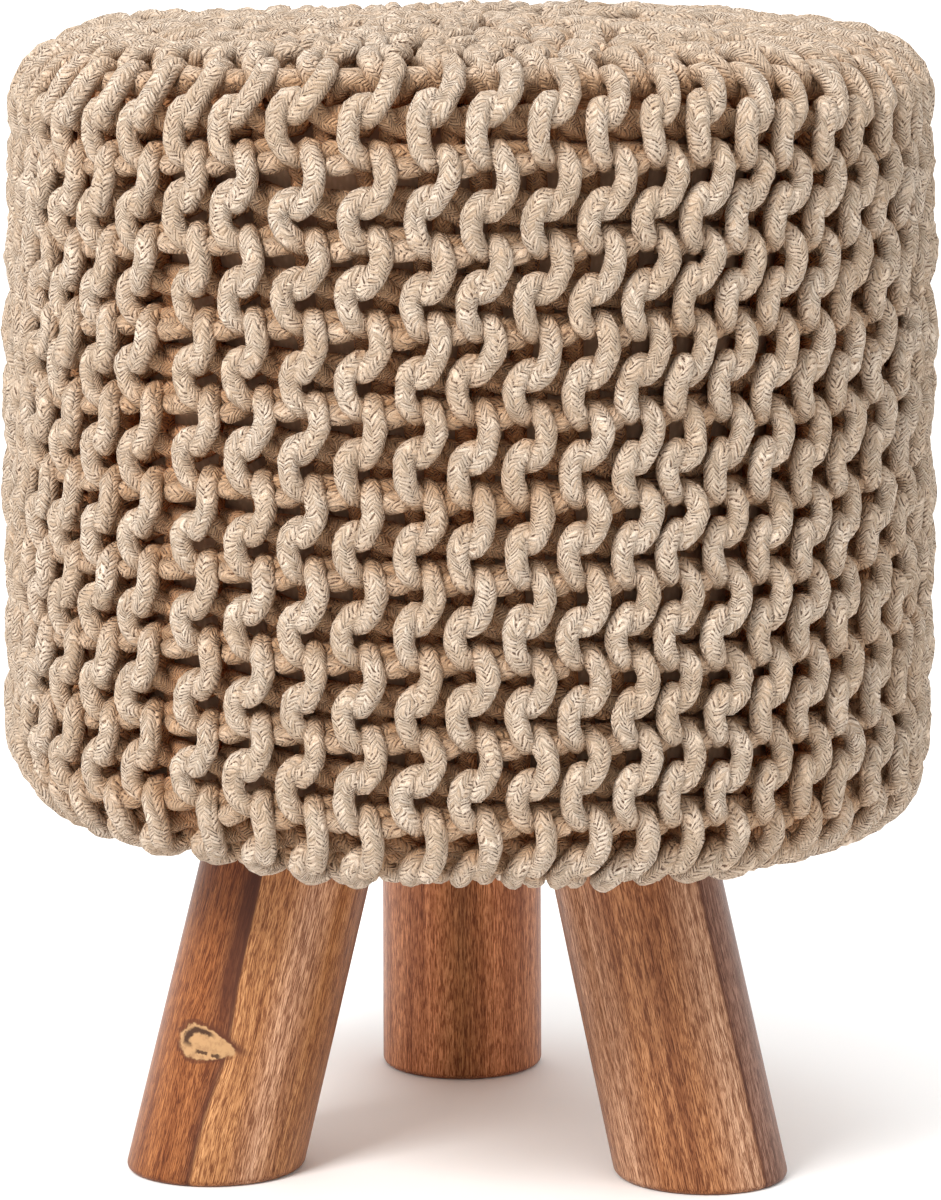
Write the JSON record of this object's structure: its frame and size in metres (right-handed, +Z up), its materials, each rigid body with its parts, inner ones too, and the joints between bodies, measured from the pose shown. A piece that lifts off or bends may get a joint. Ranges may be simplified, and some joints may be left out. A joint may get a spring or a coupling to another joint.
{
  "type": "knitted pouf stool",
  "caption": "Drum-shaped pouf in a chunky knitted cotton cord cover, standing on splayed round wooden legs.",
  "frame": {"origin": "on the floor, under the middle of the drum's bounding box", "axes": "+Z up, the longest side; -Y towards the front, where two legs show and the third is behind; +X to the right seen from the front"},
  "size_m": [0.3538, 0.3534, 0.434],
  "materials": {
    "cotton_cord": "matt thick cotton cord in garter stitch, sand beige",
    "lacquered_wood": "satin clear lacquer over reddish-brown natural grain"
  },
  "bodies": {
    "root": {"knitted_drum": "cotton_cord", "leg_left": "lacquered_wood", "leg_right": "lacquered_wood", "leg_back": "lacquered_wood"}
  },
  "joints": []
}
